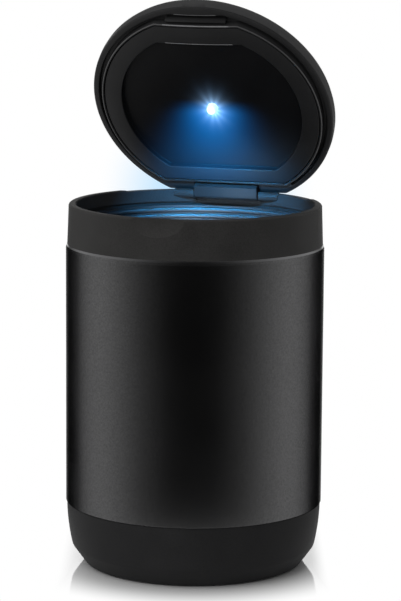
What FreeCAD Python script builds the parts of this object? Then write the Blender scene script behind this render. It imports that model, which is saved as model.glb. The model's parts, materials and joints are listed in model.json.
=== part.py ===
import FreeCAD, Part
import math
import os
import Sketcher

# Cup-holder ashtray with a hinged, lamp-lit lid.
# The origin is the middle of the foot on the surface it stands on; the thumb scoop faces -Y, the hinge +Y.
# All lengths are millimetres and all angles degrees.

SIZES = {
    # Body
    "body_radius": 37.0,
    "base_height": 18.1,
    "sleeve_length": 75.2,
    "sleeve_wall": 0.8,
    "sleeve_foot_chamfer": 0.3,
    "bevel_height": 1.3,
    "bevel_depth": 0.4,
    "fit_gap": 0.05,
    # Base cup and foot pad
    "foot_inset": 5.5,
    "base_corner_inset": 1.8,
    "base_corner_height": 5.5,
    "base_top_inset": 0.3,
    "base_side_curve": 56.0,
    "base_corner_round": 2.5,
    "base_foot_round": 0.8,
    "base_floor_height": 5.0,
    "base_spigot_length": 5.0,
    "pad_margin": 4.5,
    "pad_thickness": 1.6,
    "pad_proud": 0.4,
    "pad_edge": 0.3,
    # Collar
    "collar_height": 11.3,
    "collar_draft": 0.4,
    "collar_wall": 2.2,
    "collar_spigot_length": 5.0,
    "collar_spigot_wall": 1.25,
    "mouth_depth": 3.9,
    "rim_round": 0.7,
    "mouth_round": 0.4,
    "rear_step_start": 20.0,
    "rear_step_drop": 0.4,
    "shelf_thickness": 2.3,
    "shelf_overlap": 0.6,
    # Thumb scoop
    "scoop_depth": 1.1,
    "scoop_sweep_radius": 120.0,
    "scoop_section_radius": 11.0,
    "scoop_sweep_angle": 30.0,
    # Ash liner
    "liner_wall": 0.6,
    "liner_clearance": 0.7,
    "liner_side_gap": 0.35,
    "liner_corner": 8.0,
    "liner_corner_relief": 0.4,
    "liner_drop": 5.1,
    "rib_margin": 0.5,
    "rib_pitch": 1.85,
    "rib_height": 1.6,
    "rib_depth": 0.45,
    # Hinge
    "hinge_inset": 3.0,
    "hinge_drop": 1.35,
    "barrel_radius": 1.3,
    "knuckle_half": 9.7,
    "knuckle_side_gap": 0.2,
    "barrel_half": 16.0,
    "slot_back": 2.3,
    "slot_front": 2.5,
    "neck_front": 3.0,
    "neck_back": 0.2,
    "neck_root": 0.6,
    "neck_drop": 0.4,
    "neck_toe": 0.4,
    "pin_radius": 0.6,
    "pin_half": 15.6,
    "pin_end_gap": 0.2,
    "pin_seat_gap": 0.02,
    "pin_running_gap": 0.05,
    "lid_rest_angle": 57.5,
    # Lid shell
    "lid_inset": 0.4,
    "lid_flare": 0.3,
    "lid_seat_gap": 0.3,
    "lid_side_height": 6.4,
    "lid_crown": 2.0,
    "lid_shoulder_round": 4.5,
    "lid_edge_round": 0.5,
    "lid_rear_gap": 0.25,
    "lid_cavity_height": 5.4,
    "plug_clearance": 1.1,
    "ring_wall": 0.6,
    "ring_proud": 1.2,
    "rim_width": 1.7,
    "lip_front_flat": 1.0,
    "groove_rear": 0.4,
    "groove_depth": 1.5,
    "rib_bar_half": 9.0,
    "rib_bar_offset": 0.5,
    "rib_bar_width": 0.8,
    "rib_bar_proud": 0.6,
    # Lid plate
    "plate_gap": 0.25,
    "plate_wall": 1.2,
    "plate_proud": 1.05,
    "plate_front_flat": 2.4,
    "plate_rear_margin": 4.65,
    "flange_side": 5.1,
    "flange_front": 5.8,
    "flange_rear": 4.6,
    "recess_depth": 1.6,
    "front_bow": 0.35,
    "post_height": 0.4,
    "post_radius": 2.0,
    # Lamp and its supply
    "led_radius": 1.5,
    "led_proud": 1.0,
    "led_hole_gap": 0.1,
    "board_radius": 16.0,
    "board_thickness": 1.0,
    "cell_radius": 10.0,
    "cell_thickness": 1.6,
    "clip_gap": 0.4,
    "clip_wall": 0.3,
    "clip_width": 6.0,
    "switch_radius": 1.0,
    "switch_length": 6.0,
    "switch_edge": 1.4,
    "switch_seat_gap": 0.05,
    "screw_offset": 12.5,
    "screw_radius": 0.75,
    "screw_hole_gap": 0.1,
    "screw_head_radius": 1.5,
    "screw_head_height": 0.9,
    "screw_floor_left": 0.3,
}
RIB_COUNT = 3
# The least volume, in cubic millimetres, that counts as a cut
LEAST_CUT = 0.1


class Size:
    """A length or angle together with the sheet formula that it comes from."""

    def __init__(self, value, formula):
        self.value = float(value)
        self.formula = formula

    def __add__(self, other):
        other = as_size(other)
        return Size(self.value + other.value, f"({self.formula} + {other.formula})")

    def __sub__(self, other):
        other = as_size(other)
        return Size(self.value - other.value, f"({self.formula} - {other.formula})")

    def __mul__(self, other):
        other = as_size(other)
        return Size(self.value * other.value, f"({self.formula} * {other.formula})")

    def __truediv__(self, other):
        other = as_size(other)
        return Size(self.value / other.value, f"({self.formula} / {other.formula})")

    def __neg__(self):
        return Size(-self.value, f"(0 - {self.formula})")


def as_size(value):
    """Lets a plain number stand in a formula."""
    return value if isinstance(value, Size) else Size(value, repr(value))


def root(size):
    """The square root of a size."""
    return Size(math.sqrt(size.value), f"sqrt({size.formula})")


def half_chord(radius, distance):
    """Half the length of the chord at a distance from a circle's middle."""
    return root(radius * radius - distance * distance)


def sine(angle):
    return Size(math.sin(math.radians(angle.value)), f"sin({angle.formula} * 1 deg)")


def cosine(angle):
    return Size(math.cos(math.radians(angle.value)), f"cos({angle.formula} * 1 deg)")


ZERO = Size(0, "0")


class Dimensions:
    """Holds one Size for each row of the sheet."""

    def __init__(self, sheet):
        for row, (alias, value) in enumerate(SIZES.items(), start=1):
            sheet.set(f"A{row}", alias)
            sheet.set(f"B{row}", str(value))
            sheet.setAlias(f"B{row}", alias)
            setattr(self, alias, Size(value, f"{sheet.Name}.{alias}"))


doc = FreeCAD.newDocument("Ashtray")
sheet = doc.addObject("Spreadsheet::Sheet", "Sizes")
dim = Dimensions(sheet)
doc.recompute()


# Sketches and features

def new_body(name):
    body = doc.addObject("PartDesign::Body", name)
    body.Label = name
    return body


def bind(obj, prop, size):
    """Sets a property and ties it to the sheet."""
    setattr(obj, prop, size.value)
    obj.setExpression(prop, size.formula)


def new_sketch(body, plane, name, offset=None):
    """Attaches a sketch to one of the body's own origin planes, moved along the plane's normal by offset."""
    sketch = body.newObject("Sketcher::SketchObject", name)
    support = next(item for item in body.Origin.OriginFeatures if item.Role == plane)
    sketch.AttachmentSupport = [(support, "")]
    sketch.MapMode = "FlatFace"
    if offset is not None:
        sketch.AttachmentOffset = FreeCAD.Placement(FreeCAD.Vector(0, 0, offset.value), FreeCAD.Rotation())
        sketch.setExpression("AttachmentOffset.Base.z", offset.formula)
    return sketch


def tie(sketch, index, size):
    sketch.setExpression(f"Constraints[{index}]", size.formula)


def fix_point(sketch, geometry, point, across, up):
    """Fixes a point at its two distances from the sketch's origin."""
    for kind, axis, size in (("DistanceX", -2, across), ("DistanceY", -1, up)):
        if size is ZERO:
            sketch.addConstraint(Sketcher.Constraint("PointOnObject", geometry, point, axis))
        else:
            index = sketch.addConstraint(Sketcher.Constraint(kind, -1, 1, geometry, point, size.value))
            tie(sketch, index, size)


def arc_between(start, end, radius, turn):
    """An arc from start to end, turning left (1) or right (-1)."""
    chord = end - start
    middle = (start + end) * 0.5
    left = FreeCAD.Vector(-chord.y, chord.x, 0).normalize()
    rise = math.sqrt(max(radius ** 2 - (chord.Length / 2) ** 2, 0))
    centre = middle + left * (rise * turn)
    first, last = (start, end) if turn > 0 else (end, start)
    angles = [math.atan2(point.y - centre.y, point.x - centre.x) for point in (first, last)]
    circle = Part.Circle(centre, FreeCAD.Vector(0, 0, 1), radius)
    return Part.ArcOfCircle(circle, angles[0], angles[1])


def draw_outline(sketch, corners):
    """Draws a closed outline.

    Each corner is (across, up), or (across, up, radius, turn) where an arc of that radius follows it.
    """
    points = [FreeCAD.Vector(corner[0].value, corner[1].value, 0) for corner in corners]
    ends = []
    for number, corner in enumerate(corners):
        start = points[number]
        end = points[(number + 1) % len(points)]
        if len(corner) == 2:
            index = sketch.addGeometry(Part.LineSegment(start, end), False)
            ends.append((index, 1, 2))
        else:
            radius, turn = corner[2:]
            index = sketch.addGeometry(arc_between(start, end, radius.value, turn), False)
            ends.append((index, 1, 2) if turn > 0 else (index, 2, 1))
    for number, (index, start, end) in enumerate(ends):
        following = ends[(number + 1) % len(ends)]
        sketch.addConstraint(Sketcher.Constraint("Coincident", index, end, following[0], following[1]))
        fix_point(sketch, index, start, corners[number][0], corners[number][1])
        if len(corners[number]) > 2:
            radius = corners[number][2]
            tie(sketch, sketch.addConstraint(Sketcher.Constraint("Radius", index, radius.value)), radius)


def draw_circle(sketch, across, up, radius):
    centre = FreeCAD.Vector(across.value, up.value, 0)
    index = sketch.addGeometry(Part.Circle(centre, FreeCAD.Vector(0, 0, 1), radius.value), False)
    fix_point(sketch, index, 3, across, up)
    tie(sketch, sketch.addConstraint(Sketcher.Constraint("Radius", index, radius.value)), radius)


def draw_box(sketch, left, right, bottom, top):
    draw_outline(sketch, [(left, bottom), (right, bottom), (right, top), (left, top)])


def draw_flatted_disc(sketch, radius, front, rear):
    """A disc with a straight edge at the rear and an edge at the front that bows inwards a little."""
    at_front = half_chord(radius, front)
    at_rear = half_chord(radius, rear)
    bow_curve = (at_front * at_front + dim.front_bow * dim.front_bow) / (dim.front_bow * 2)
    draw_outline(sketch, [
        (-at_front, -front, bow_curve, -1),
        (at_front, -front, radius, 1),
        (at_rear, rear),
        (-at_rear, rear, radius, 1),
    ])


def add_feature(body, kind, name, sketch):
    feature = body.newObject(f"PartDesign::{kind}", name)
    feature.Profile = sketch
    sketch.Visibility = False
    return feature


def check_cut(body, before, name):
    """Stops the build where a cut took nothing away."""
    doc.recompute()
    if body.Shape.Volume > before - LEAST_CUT:
        raise RuntimeError(f"{body.Label}: {name} cut nothing")


def revolve(body, corners, name):
    """Turns an outline of (radius, height) corners about the vertical axis."""
    sketch = new_sketch(body, "XZ_Plane", f"{name}_outline")
    draw_outline(sketch, corners)
    feature = add_feature(body, "Revolution", name, sketch)
    feature.ReferenceAxis = (sketch, ["V_Axis"])
    feature.Angle = 360
    doc.recompute()
    return feature


def pad(body, sketch, name, length, symmetric=False, reverse=False):
    feature = add_feature(body, "Pad", name, sketch)
    feature.SideType = "Symmetric" if symmetric else "One side"
    feature.Reversed = reverse
    bind(feature, "Length", length)
    doc.recompute()
    return feature


def pocket(body, sketch, name, length=None, symmetric=False, reverse=False):
    """Cuts to a length, or through everything where no length is given."""
    before = body.Shape.Volume
    feature = add_feature(body, "Pocket", name, sketch)
    feature.SideType = "Symmetric" if symmetric else "One side"
    feature.Reversed = reverse
    if length is None:
        feature.Type = "ThroughAll"
    else:
        bind(feature, "Length", length)
    check_cut(body, before, name)
    return feature


def ring_edges(feature, radius, height):
    """Names the round edges about the vertical axis that have this radius and height."""
    names = []
    for number, edge in enumerate(feature.Shape.Edges, start=1):
        if edge.Degenerated or not isinstance(edge.Curve, Part.Circle):
            continue
        centre = edge.Curve.Center
        level = abs(centre.z - height.value) < 1e-4 and abs(edge.Curve.Radius - radius.value) < 1e-4
        if level and math.hypot(centre.x, centre.y) < 1e-4:
            names.append(f"Edge{number}")
    return names


def round_rings(body, base, name, size, rings):
    """Rounds the round edges at the given (radius, height) pairs."""
    edges = [edge for radius, height in rings for edge in ring_edges(base, radius, height)]
    feature = body.newObject("PartDesign::Fillet", name)
    feature.Base = (base, edges)
    bind(feature, "Radius", size)
    doc.recompute()
    return feature


# Heights and radii shared by several pieces

sleeve_top = dim.base_height + dim.sleeve_length
rim_height = sleeve_top + dim.collar_height
sleeve_bore = dim.body_radius - dim.sleeve_wall
spigot_radius = sleeve_bore - dim.fit_gap
collar_foot_radius = dim.body_radius - dim.bevel_depth
rim_radius = collar_foot_radius - dim.collar_draft
mouth_radius = rim_radius - dim.collar_wall
well_radius = spigot_radius - dim.collar_spigot_wall
liner_radius = well_radius - dim.liner_clearance
base_bore = liner_radius + dim.liner_side_gap
pad_radius = dim.body_radius - dim.foot_inset - dim.pad_margin
hinge_y = mouth_radius - dim.hinge_inset
hinge_z = rim_height - dim.hinge_drop
slot_half = dim.knuckle_half + dim.knuckle_side_gap
lid_base = rim_height + dim.lid_seat_gap
lid_rim_radius = rim_radius - dim.lid_inset
lid_rear = hinge_y - dim.lid_rear_gap
ring_radius = mouth_radius - dim.plug_clearance
ring_bore = ring_radius - dim.ring_wall
plate_radius = ring_bore - dim.plate_gap
plate_front = plate_radius - dim.plate_front_flat
plate_rear = lid_rear - dim.plate_rear_margin
ring_front = plate_front + dim.plate_gap
ring_rear = plate_rear + dim.plate_gap
plate_face = lid_base - dim.plate_proud
recess_floor = plate_face + dim.recess_depth
pan_top = recess_floor + dim.plate_wall
board_base = pan_top + dim.post_height
board_top = board_base + dim.board_thickness
cell_top = board_top + dim.cell_thickness


# Fixed pieces

def build_foot_pad():
    body = new_body("foot_pad")
    edge = pad_radius - dim.pad_edge
    revolve(body, [(ZERO, ZERO), (edge, ZERO), (pad_radius, dim.pad_edge), (pad_radius, dim.pad_thickness),
                   (ZERO, dim.pad_thickness)], "pad_disc")
    return body


def build_base_cup():
    """A thick moulded cup; its spigot carries the sleeve and its floor carries the liner."""
    body = new_body("base_cup")
    foot_radius = dim.body_radius - dim.foot_inset
    corner_radius = dim.body_radius - dim.base_corner_inset
    top_radius = dim.body_radius - dim.base_top_inset
    spigot_top = dim.base_height + dim.base_spigot_length
    pad_bore = pad_radius + dim.fit_gap
    bore_round = dim.liner_corner - dim.liner_corner_relief
    shell = revolve(body, [
        (ZERO, dim.pad_thickness),
        (pad_bore, dim.pad_thickness),
        (pad_bore, dim.pad_proud),
        (foot_radius, dim.pad_proud),
        (corner_radius, dim.base_corner_height, dim.base_side_curve, 1),
        (top_radius, dim.base_height),
        (spigot_radius, dim.base_height),
        (spigot_radius, spigot_top),
        (base_bore, spigot_top),
        (base_bore, dim.base_floor_height + bore_round, bore_round, -1),
        (base_bore - bore_round, dim.base_floor_height),
        (ZERO, dim.base_floor_height),
    ], "cup")
    corner = round_rings(body, shell, "corner_round", dim.base_corner_round,
                         [(corner_radius, dim.base_corner_height)])
    round_rings(body, corner, "foot_round", dim.base_foot_round, [(foot_radius, dim.pad_proud)])
    return body


def build_sleeve():
    """A drawn tube with a cut bevel at its top edge and a small chamfer at its foot."""
    body = new_body("body_sleeve")
    revolve(body, [
        (sleeve_bore, dim.base_height),
        (dim.body_radius - dim.sleeve_foot_chamfer, dim.base_height),
        (dim.body_radius, dim.base_height + dim.sleeve_foot_chamfer),
        (dim.body_radius, sleeve_top - dim.bevel_height),
        (dim.body_radius - dim.bevel_depth, sleeve_top),
        (sleeve_bore, sleeve_top),
    ], "tube")
    return body


def build_liner():
    """A thin drawn cup that stands on the base floor, with ribs rolled inwards round its neck."""
    body = new_body("ash_liner")
    floor = dim.base_floor_height
    top = rim_height - dim.liner_drop
    bore = liner_radius - dim.liner_wall
    bend = liner_radius - dim.liner_corner
    rib_curve = (dim.rib_height * dim.rib_height / 4 + dim.rib_depth * dim.rib_depth) / (dim.rib_depth * 2)
    spans = []
    for number in range(RIB_COUNT):
        rib_top = top - dim.rib_margin - dim.rib_pitch * number
        spans.append((rib_top - dim.rib_height, rib_top))
    outside = []
    inside = []
    for low, high in reversed(spans):
        outside += [(liner_radius, low, rib_curve, -1), (liner_radius, high)]
    for low, high in spans:
        inside += [(bore, high, rib_curve, 1), (bore, low)]
    revolve(body, [
        (ZERO, floor),
        (bend, floor, dim.liner_corner, 1),
        (liner_radius, floor + dim.liner_corner),
        *outside,
        (liner_radius, top),
        (bore, top),
        *inside,
        (bore, floor + dim.liner_corner, dim.liner_corner - dim.liner_wall, -1),
        (bend, floor + dim.liner_wall),
        (ZERO, floor + dim.liner_wall),
    ], "drawn_cup")
    return body


def add_pin_bore(body, name, radius, start):
    """Bores the hinge line from a start on X out through the +X side."""
    sketch = new_sketch(body, "YZ_Plane", f"{name}_outline", start)
    draw_circle(sketch, hinge_y, hinge_z, radius)
    pocket(body, sketch, name, reverse=True)


def build_collar():
    """The mouth ring: thumb scoop in front, inboard hinge shelf with two knuckles at the rear."""
    body = new_body("collar")
    spigot_foot = sleeve_top - dim.collar_spigot_length
    mouth_foot = rim_height - dim.mouth_depth
    ring = revolve(body, [
        (well_radius, spigot_foot),
        (spigot_radius, spigot_foot),
        (spigot_radius, sleeve_top),
        (collar_foot_radius, sleeve_top),
        (rim_radius, rim_height),
        (mouth_radius, rim_height),
        (mouth_radius, mouth_foot),
        (well_radius, mouth_foot),
    ], "ring")
    outer = round_rings(body, ring, "rim_round", dim.rim_round, [(rim_radius, rim_height)])
    round_rings(body, outer, "mouth_round", dim.mouth_round, [(mouth_radius, rim_height)])

    step = new_sketch(body, "XY_Plane", "rear_step_outline", rim_height)
    draw_box(step, -dim.body_radius, dim.body_radius, dim.rear_step_start, dim.body_radius)
    pocket(body, step, "rear_step", dim.rear_step_drop)

    shelf_radius = mouth_radius + dim.shelf_overlap
    shelf_half = half_chord(shelf_radius, hinge_y)
    shelf = new_sketch(body, "XY_Plane", "shelf_outline", rim_height - dim.rear_step_drop)
    draw_outline(shelf, [(-shelf_half, hinge_y), (shelf_half, hinge_y, shelf_radius, 1)])
    pad(body, shelf, "shelf", dim.shelf_thickness, reverse=True)

    barrel = new_sketch(body, "YZ_Plane", "barrel_outline")
    draw_circle(barrel, hinge_y, hinge_z, dim.barrel_radius)
    pad(body, barrel, "barrel", dim.barrel_half * 2, symmetric=True)

    slot = new_sketch(body, "XY_Plane", "slot_outline", rim_height)
    draw_box(slot, -slot_half, slot_half, hinge_y - dim.slot_front, hinge_y + dim.slot_back)
    pocket(body, slot, "knuckle_slot", dim.mouth_depth)

    add_pin_bore(body, "pin_bore", dim.pin_radius + dim.pin_seat_gap, -(dim.pin_half + dim.pin_end_gap))
    add_thumb_scoop(body)
    return body


def add_thumb_scoop(body):
    """Sweeps a round section about an upright axis in front, which leaves a shallow half-round hollow."""
    deepest = -(rim_radius - dim.scoop_depth)
    axis_y = deepest - dim.scoop_sweep_radius
    before = body.Shape.Volume
    sketch = new_sketch(body, "YZ_Plane", "scoop_outline")
    draw_circle(sketch, deepest - dim.scoop_section_radius, rim_height, dim.scoop_section_radius)
    low = FreeCAD.Vector(axis_y.value, 0, 0)
    high = FreeCAD.Vector(axis_y.value, rim_height.value, 0)
    axis = sketch.addGeometry(Part.LineSegment(low, high), True)
    fix_point(sketch, axis, 1, axis_y, ZERO)
    fix_point(sketch, axis, 2, axis_y, rim_height)
    feature = add_feature(body, "Groove", "thumb_scoop", sketch)
    feature.ReferenceAxis = (sketch, ["Axis0"])
    feature.Midplane = True
    bind(feature, "Angle", dim.scoop_sweep_angle)
    check_cut(body, before, "thumb_scoop")


def build_pin():
    body = new_body("hinge_pin")
    sketch = new_sketch(body, "YZ_Plane", "pin_outline")
    draw_circle(sketch, hinge_y, hinge_z, dim.pin_radius)
    pad(body, sketch, "pin", dim.pin_half * 2, symmetric=True)
    return body


# Lid pieces, drawn closed and then swung open about the hinge line

def swing_open(obj):
    """Turns a piece that is drawn closed by the rest angle about the hinge line."""
    angle = dim.lid_rest_angle
    shift_y = hinge_y - hinge_y * cosine(angle) - hinge_z * sine(angle)
    shift_z = hinge_z + hinge_y * sine(angle) - hinge_z * cosine(angle)
    turn = FreeCAD.Rotation(FreeCAD.Vector(1, 0, 0), -angle.value)
    obj.Placement = FreeCAD.Placement(FreeCAD.Vector(0, shift_y.value, shift_z.value), turn)
    obj.setExpression("Placement.Base.y", shift_y.formula)
    obj.setExpression("Placement.Base.z", shift_z.formula)


def build_lid_shell():
    """The domed lid: rim, sunk groove, ring wall, closing rib and hinge knuckle in one moulding."""
    body = new_body("lid_shell")
    side_radius = lid_rim_radius + dim.lid_flare
    side_top = lid_base + dim.lid_side_height
    crown_curve = (side_radius * side_radius + dim.lid_crown * dim.lid_crown) / (dim.lid_crown * 2)
    dome = revolve(body, [
        (ZERO, lid_base),
        (lid_rim_radius, lid_base),
        (side_radius, side_top, crown_curve, 1),
        (ZERO, side_top + dim.lid_crown),
    ], "dome")
    shoulder = round_rings(body, dome, "shoulder_round", dim.lid_shoulder_round, [(side_radius, side_top)])
    round_rings(body, shoulder, "edge_round", dim.lid_edge_round, [(lid_rim_radius, lid_base)])

    back = new_sketch(body, "XY_Plane", "rear_flat_outline", lid_base)
    draw_box(back, -dim.body_radius, dim.body_radius, lid_rear, dim.body_radius)
    pocket(body, back, "rear_flat", reverse=True)

    groove_floor = lid_base + dim.groove_depth
    groove_radius = lid_rim_radius - dim.rim_width
    ring_foot = lid_base - dim.ring_proud
    groove = new_sketch(body, "XY_Plane", "groove_outline", lid_base)
    draw_flatted_disc(groove, groove_radius, groove_radius - dim.lip_front_flat,
                      ring_rear + dim.ring_wall + dim.groove_rear)
    pocket(body, groove, "rim_groove", dim.groove_depth, reverse=True)

    plug = new_sketch(body, "XY_Plane", "plug_outline", groove_floor)
    draw_flatted_disc(plug, ring_radius, ring_front + dim.ring_wall, ring_rear + dim.ring_wall)
    pad(body, plug, "plug", dim.groove_depth + dim.ring_proud, reverse=True)

    cavity = new_sketch(body, "XY_Plane", "cavity_outline", ring_foot)
    draw_flatted_disc(cavity, ring_bore, ring_front, ring_rear)
    pocket(body, cavity, "cavity", dim.ring_proud + dim.lid_cavity_height, reverse=True)

    bar_near = ring_front + dim.ring_wall + dim.rib_bar_offset
    bar = new_sketch(body, "XY_Plane", "closing_rib_outline", groove_floor)
    draw_box(bar, -dim.rib_bar_half, dim.rib_bar_half, -(bar_near + dim.rib_bar_width), -bar_near)
    pad(body, bar, "closing_rib", dim.groove_depth + dim.rib_bar_proud, reverse=True)

    add_knuckle(body)
    swing_open(body)
    return body


def add_knuckle(body):
    """The lid's own barrel between the collar's two, in a square block under the lid's rear wall."""
    width = dim.knuckle_half * 2
    neck = new_sketch(body, "YZ_Plane", "neck_outline")
    draw_outline(neck, [
        (hinge_y - dim.neck_front, hinge_z - dim.neck_drop),
        (hinge_y - dim.neck_toe, hinge_z - half_chord(dim.barrel_radius, dim.neck_toe)),
        (hinge_y - dim.neck_back, hinge_z),
        (hinge_y - dim.neck_back, lid_base),
        (lid_rear, lid_base + dim.neck_root),
        (hinge_y - dim.neck_front, lid_base + dim.neck_root),
    ])
    pad(body, neck, "knuckle_neck", width, symmetric=True)
    barrel = new_sketch(body, "YZ_Plane", "knuckle_outline")
    draw_circle(barrel, hinge_y, hinge_z, dim.barrel_radius)
    pad(body, barrel, "knuckle_barrel", width, symmetric=True)
    add_pin_bore(body, "knuckle_bore", dim.pin_radius + dim.pin_running_gap, -dim.barrel_half)


def build_lid_plate():
    """The inner plate: a flat flange round a recessed pan, with two posts for the lamp's board."""
    body = new_body("lid_plate")
    recess_radius = plate_radius - dim.flange_side
    recess_front = plate_front - dim.flange_front
    recess_rear = plate_rear - dim.flange_rear
    flange = new_sketch(body, "XY_Plane", "flange_outline", plate_face)
    draw_flatted_disc(flange, plate_radius, plate_front, plate_rear)
    pad(body, flange, "flange", dim.plate_wall)

    pan = new_sketch(body, "XY_Plane", "pan_outline", plate_face)
    draw_flatted_disc(pan, recess_radius + dim.plate_wall, recess_front + dim.plate_wall,
                      recess_rear + dim.plate_wall)
    pad(body, pan, "pan", dim.recess_depth + dim.plate_wall)

    recess = new_sketch(body, "XY_Plane", "recess_outline", plate_face)
    draw_flatted_disc(recess, recess_radius, recess_front, recess_rear)
    pocket(body, recess, "recess", dim.recess_depth, reverse=True)

    posts = new_sketch(body, "XY_Plane", "post_outline", pan_top)
    screw_holes = new_sketch(body, "XY_Plane", "screw_hole_outline", board_base)
    for side in (-1, 1):
        draw_circle(posts, dim.screw_offset * side, ZERO, dim.post_radius)
        draw_circle(screw_holes, dim.screw_offset * side, ZERO, dim.screw_radius + dim.screw_hole_gap)
    pad(body, posts, "posts", dim.post_height)
    pocket(body, screw_holes, "screw_holes", dim.post_height + dim.plate_wall - dim.screw_floor_left)

    lamp_hole = new_sketch(body, "XY_Plane", "lamp_hole_outline", pan_top)
    draw_circle(lamp_hole, ZERO, ZERO, dim.led_radius + dim.led_hole_gap)
    pocket(body, lamp_hole, "lamp_hole", dim.plate_wall)
    swing_open(body)
    return body


def build_led():
    """A round lamp: a straight body from the board through the pan's floor, then a half-round lens."""
    body = new_body("led")
    lens_edge = recess_floor - dim.led_proud
    revolve(body, [
        (ZERO, lens_edge - dim.led_radius, dim.led_radius, 1),
        (dim.led_radius, lens_edge),
        (dim.led_radius, board_base),
        (ZERO, board_base),
    ], "lamp")
    swing_open(body)
    return body


def build_board():
    body = new_body("led_board")
    disc = new_sketch(body, "XY_Plane", "board_outline", board_base)
    draw_circle(disc, ZERO, ZERO, dim.board_radius)
    for side in (-1, 1):
        draw_circle(disc, dim.screw_offset * side, ZERO, dim.screw_radius + dim.screw_hole_gap)
    pad(body, disc, "board", dim.board_thickness)
    swing_open(body)
    return body


def build_cell():
    body = new_body("coin_cell")
    disc = new_sketch(body, "XY_Plane", "cell_outline", board_top)
    draw_circle(disc, ZERO, ZERO, dim.cell_radius)
    pad(body, disc, "cell", dim.cell_thickness)
    swing_open(body)
    return body


def build_clip():
    """A bent strip over the cell, with both feet on the board."""
    body = new_body("cell_clip")
    inner = dim.cell_radius + dim.clip_gap
    outer = inner + dim.clip_wall
    strip = new_sketch(body, "YZ_Plane", "clip_outline")
    draw_outline(strip, [
        (-outer, board_top),
        (-inner, board_top),
        (-inner, cell_top),
        (inner, cell_top),
        (inner, board_top),
        (outer, board_top),
        (outer, cell_top + dim.clip_wall),
        (-outer, cell_top + dim.clip_wall),
    ])
    pad(body, strip, "clip", dim.clip_width, symmetric=True)
    swing_open(body)
    return body


def build_switch():
    """A small can on the board that closes the lamp's circuit when the lid tips up."""
    body = new_body("tilt_switch")
    across = -(dim.board_radius - dim.switch_edge - dim.switch_radius)
    can = new_sketch(body, "YZ_Plane", "can_outline")
    draw_circle(can, across, board_top + dim.switch_radius + dim.switch_seat_gap, dim.switch_radius)
    pad(body, can, "can", dim.switch_length, symmetric=True)
    swing_open(body)
    return body


def build_screws():
    """Two like screws that hold the board on the plate's posts."""
    shank_length = dim.board_thickness + dim.post_height + dim.plate_wall - dim.screw_floor_left * 2
    screws = []
    for number, side in enumerate((-1, 1), start=1):
        shank = doc.addObject("Part::Cylinder", f"screw_shank_{number}")
        bind(shank, "Radius", dim.screw_radius)
        bind(shank, "Height", shank_length)
        head = doc.addObject("Part::Cylinder", f"screw_head_{number}")
        bind(head, "Radius", dim.screw_head_radius)
        bind(head, "Height", dim.screw_head_height)
        for piece, height in ((shank, board_top - shank_length), (head, board_top)):
            across = dim.screw_offset * side
            piece.Placement.Base = FreeCAD.Vector(across.value, 0, height.value)
            piece.setExpression("Placement.Base.x", across.formula)
            piece.setExpression("Placement.Base.z", height.formula)
        screw = doc.addObject("Part::Fuse", f"screw_{number}")
        screw.Base = shank
        screw.Tool = head
        screws.append(screw)
    group = doc.addObject("Part::Compound", "board_screws")
    group.Label = "board_screws"
    group.Links = screws
    swing_open(group)
    return group


def check_document(pieces):
    """Stops the build where any object failed or any piece has no sound shape."""
    doc.recompute()
    for obj in doc.Objects:
        if "Invalid" in obj.State or "Error" in obj.State:
            raise RuntimeError(f"{obj.Label} failed: {obj.State}")
    for piece in pieces:
        if piece.Shape.isNull() or not piece.Shape.isValid() or not piece.Shape.Solids:
            raise RuntimeError(f"{piece.Label} has no sound shape")


pieces = [
    build_foot_pad(),
    build_base_cup(),
    build_sleeve(),
    build_liner(),
    build_collar(),
    build_pin(),
    build_lid_shell(),
    build_lid_plate(),
    build_led(),
    build_board(),
    build_cell(),
    build_clip(),
    build_switch(),
    build_screws(),
]
check_document(pieces)
os.makedirs("parts", exist_ok=True)
for piece in pieces:
    piece.Shape.exportStep(os.path.join("parts", f"{piece.Label}.step"))
    print(piece.Label, len(piece.Shape.Solids), round(piece.Shape.Volume, 3))
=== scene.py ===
"""Looks of the cup-holder ashtray: a black can with a hinged, lamp-lit lid."""
import json
import logging
import math
from abc import ABC, abstractmethod
from dataclasses import dataclass, field, replace
from enum import Enum, IntEnum
from typing import Mapping, Optional, Sequence, Union

import bmesh
import bpy
from mathutils import Matrix, Vector


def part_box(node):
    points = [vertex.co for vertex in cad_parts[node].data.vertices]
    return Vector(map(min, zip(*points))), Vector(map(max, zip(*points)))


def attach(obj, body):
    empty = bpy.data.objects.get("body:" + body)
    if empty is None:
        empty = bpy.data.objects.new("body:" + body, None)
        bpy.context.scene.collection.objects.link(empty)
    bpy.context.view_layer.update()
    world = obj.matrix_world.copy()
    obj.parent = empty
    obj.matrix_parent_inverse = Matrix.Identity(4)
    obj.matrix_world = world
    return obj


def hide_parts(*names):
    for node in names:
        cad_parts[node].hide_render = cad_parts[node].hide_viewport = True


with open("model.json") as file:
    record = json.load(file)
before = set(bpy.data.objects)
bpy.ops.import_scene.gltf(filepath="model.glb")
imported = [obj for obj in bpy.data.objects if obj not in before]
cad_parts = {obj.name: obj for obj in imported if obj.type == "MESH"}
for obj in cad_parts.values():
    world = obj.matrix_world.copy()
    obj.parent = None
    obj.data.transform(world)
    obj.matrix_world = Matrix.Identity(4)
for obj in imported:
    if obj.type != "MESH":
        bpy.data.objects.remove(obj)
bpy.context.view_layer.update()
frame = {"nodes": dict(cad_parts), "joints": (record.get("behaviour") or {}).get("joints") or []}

log = logging.getLogger("ashtray")

MM = 0.001
# A flat this far out cuts nothing off any disc of this object
UNCUT = 1.0
SHARP_ANGLE = math.radians(38.0)
EASE_FACETS = 2
ROUND_PROFILE = 0.5
# The flats' places among the stretches that an outline is drawn in
FRONT_STRETCH = 0
REAR_STRETCH = 2

Colour = tuple[float, float, float]
Socket = bpy.types.NodeSocket
Value = Union[Socket, float]
Ring = Sequence[bmesh.types.BMVert]


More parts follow.
